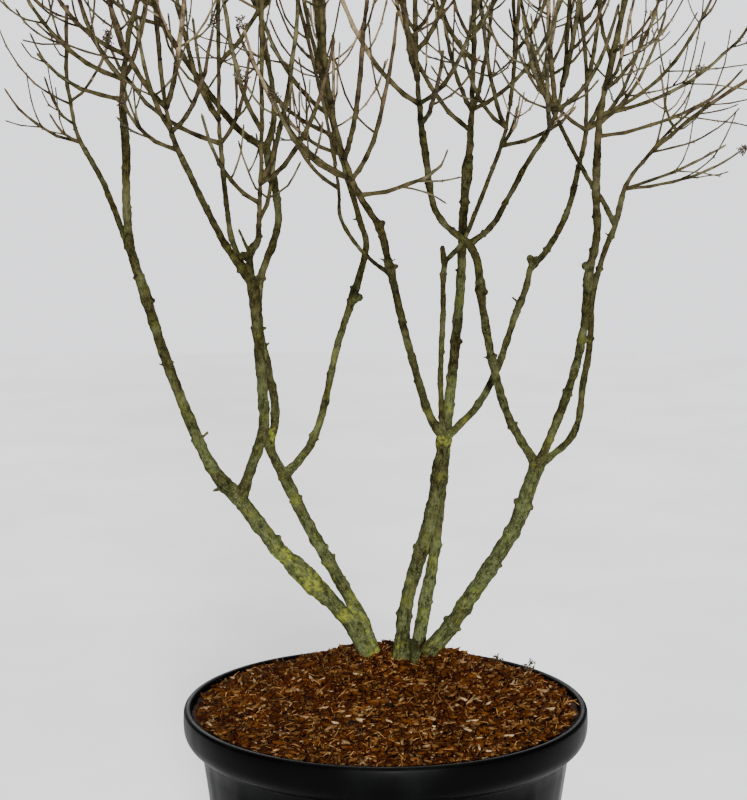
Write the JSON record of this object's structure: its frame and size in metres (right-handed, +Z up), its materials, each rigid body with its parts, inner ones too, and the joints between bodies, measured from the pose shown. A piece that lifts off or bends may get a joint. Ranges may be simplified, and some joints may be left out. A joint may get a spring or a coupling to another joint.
{
  "type": "panicle hydrangea",
  "caption": "Bare winter shrub of forking stems and open masses of fine upright twigs, growing in a round tapered nursery pot with a rolled band and bark mulch.",
  "frame": {"origin": "middle of the flat underside of the pot", "axes": "+Z up, +X across the plant, +Y from its front to its back"},
  "size_m": [1.3999, 1.1251, 2.227],
  "materials": {
    "pot": "black moulded plastic with a soft satin shine",
    "potting_mix": "damp dark compost",
    "bark_mulch": "rough red-brown bark chips",
    "bark": "grey-brown bark, green with algae and patched with lichen near the foot",
    "twigs": "thin brown winter twigs"
  },
  "bodies": {
    "root": {"bark_mulch": "bark_mulch", "bough_centre": "bark", "bough_centre_left": "bark", "bough_centre_right": "bark", "bough_centre_right_inner": "bark", "bough_centre_right_outer": "bark", "bough_centre_side": "bark", "bough_crossing_back": "bark", "bough_far_left": "bark", "bough_far_left_outer": "bark", "bough_far_left_upper": "bark", "bough_far_right": "bark", "bough_far_right_inner": "bark", "bough_inner_left": "bark", "bough_inner_left_slanting": "bark", "bough_inner_left_upright": "bark", "bough_left": "bark", "bough_left_front": "bark", "bough_left_middle": "bark", "bough_left_outer": "bark", "bough_right": "bark", "bough_upright": "bark", "cut_stub": "bark", "pot": "pot", "potting_mix": "potting_mix", "stem_inner_left": "bark", "stem_middle_back": "bark", "stem_middle_front": "bark", "stem_outer_left": "bark", "stem_right": "bark", "twigs_centre": "twigs", "twigs_centre_left": "twigs", "twigs_centre_right_inner": "twigs", "twigs_centre_right_outer": "twigs", "twigs_centre_side": "twigs", "twigs_crossing_back": "twigs", "twigs_far_left_outer": "twigs", "twigs_far_left_upper": "twigs", "twigs_far_right": "twigs", "twigs_far_right_inner": "twigs", "twigs_inner_left_slanting": "twigs", "twigs_inner_left_upright": "twigs", "twigs_left_front": "twigs", "twigs_left_middle": "twigs", "twigs_left_outer": "twigs", "twigs_middle_back": "twigs", "twigs_right": "twigs", "twigs_upright": "twigs"}
  },
  "joints": []
}
